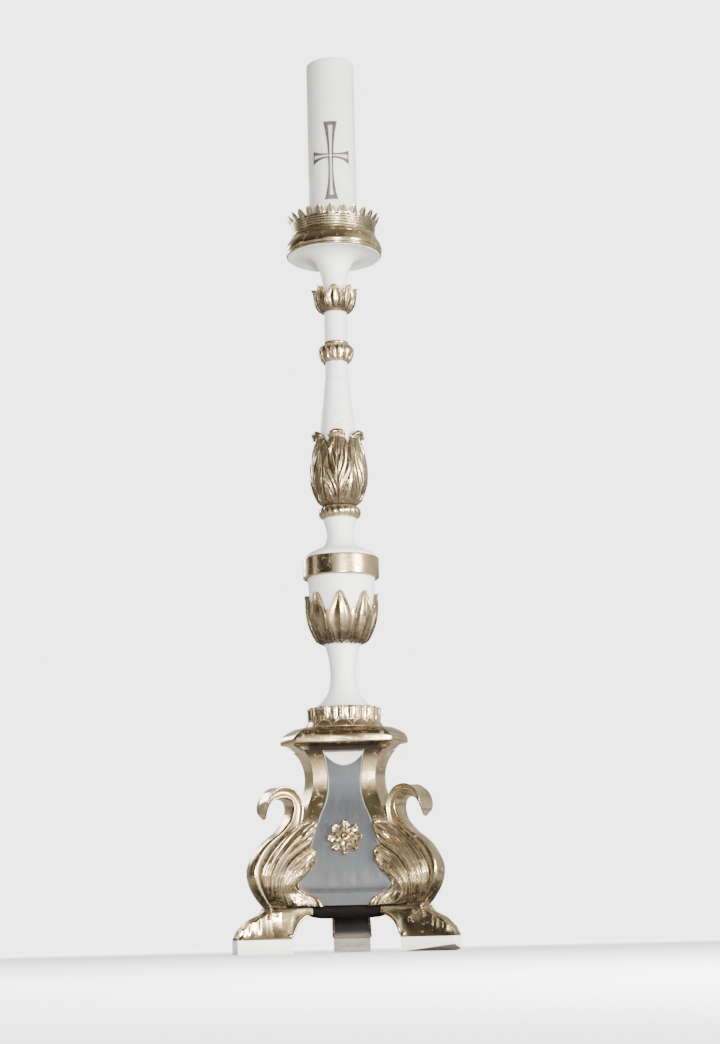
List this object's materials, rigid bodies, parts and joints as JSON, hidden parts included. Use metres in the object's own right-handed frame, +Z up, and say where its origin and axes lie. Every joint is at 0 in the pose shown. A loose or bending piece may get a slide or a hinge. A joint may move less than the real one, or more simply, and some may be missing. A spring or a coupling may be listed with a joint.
{
  "type": "altar candlestick",
  "caption": "Turned and gilded altar candlestick on a three-sided pedestal with scroll legs and paw feet, with a drip pan, a lift-off gallery and a spike for the candle.",
  "frame": {"origin": "on the shaft's axis, in the plane the plinth blocks stand on", "axes": "+Z up along the shaft, -Y out of the front panel, +X to the viewer's right"},
  "size_m": [0.3052, 0.2643, 1.299],
  "materials": {
    "gilt": "aged gold leaf over carved wood",
    "white_paint": "old off-white paint on turned wood",
    "blue_grey_paint": "blue-grey paint on wood",
    "bare_wood": "aged unpainted wood",
    "iron": "dark forged iron",
    "brass": "tarnished sheet brass",
    "wax": "ivory wax",
    "wax_relief": "dark bronze-coloured wax",
    "wick": "braided cotton"
  },
  "bodies": {
    "stand": {"base_block": "bare_wood", "bead_ring": "gilt", "bulb": "gilt", "calyx": "gilt", "collar": "gilt", "cornice": "gilt", "floor_board": "gilt", "foot_dowels": "bare_wood", "foot_left": "gilt", "foot_rear": "gilt", "foot_right": "gilt", "leaf_ring": "gilt", "leg_left": "gilt", "leg_rear": "gilt", "leg_right": "gilt", "neck": "white_paint", "pan": "gilt", "panel_front": "blue_grey_paint", "panel_left": "blue_grey_paint", "panel_right": "blue_grey_paint", "pedestal_core": "bare_wood", "plinth_left": "gilt", "plinth_rear": "gilt", "plinth_right": "gilt", "rosette_front": "gilt", "rosette_left": "gilt", "rosette_pins": "iron", "rosette_right": "gilt", "shaft_lower": "white_paint", "shaft_upper": "white_paint", "spike": "iron", "stem_lower": "white_paint", "stem_upper": "white_paint", "stile_left": "gilt", "stile_rear": "gilt", "stile_right": "gilt", "trumpet": "white_paint", "vase": "white_paint", "vase_band": "gilt", "vase_leaf_cup": "gilt"},
    "gallery": {"gallery_ring": "brass", "gallery_tray": "brass"},
    "candle": {"candle": "wax", "candle_cross": "wax_relief", "wick": "wick"}
  },
  "joints": [
    {"name": "gallery_lift", "type": "slide", "parent": "stand", "child": "gallery", "axis": [0, 0, 1], "range_m": [0, 0.1]},
    {"name": "candle_lift", "type": "slide", "parent": "gallery", "child": "candle", "axis": [0, 0, 1], "range_m": [0, 0.12]}
  ]
}
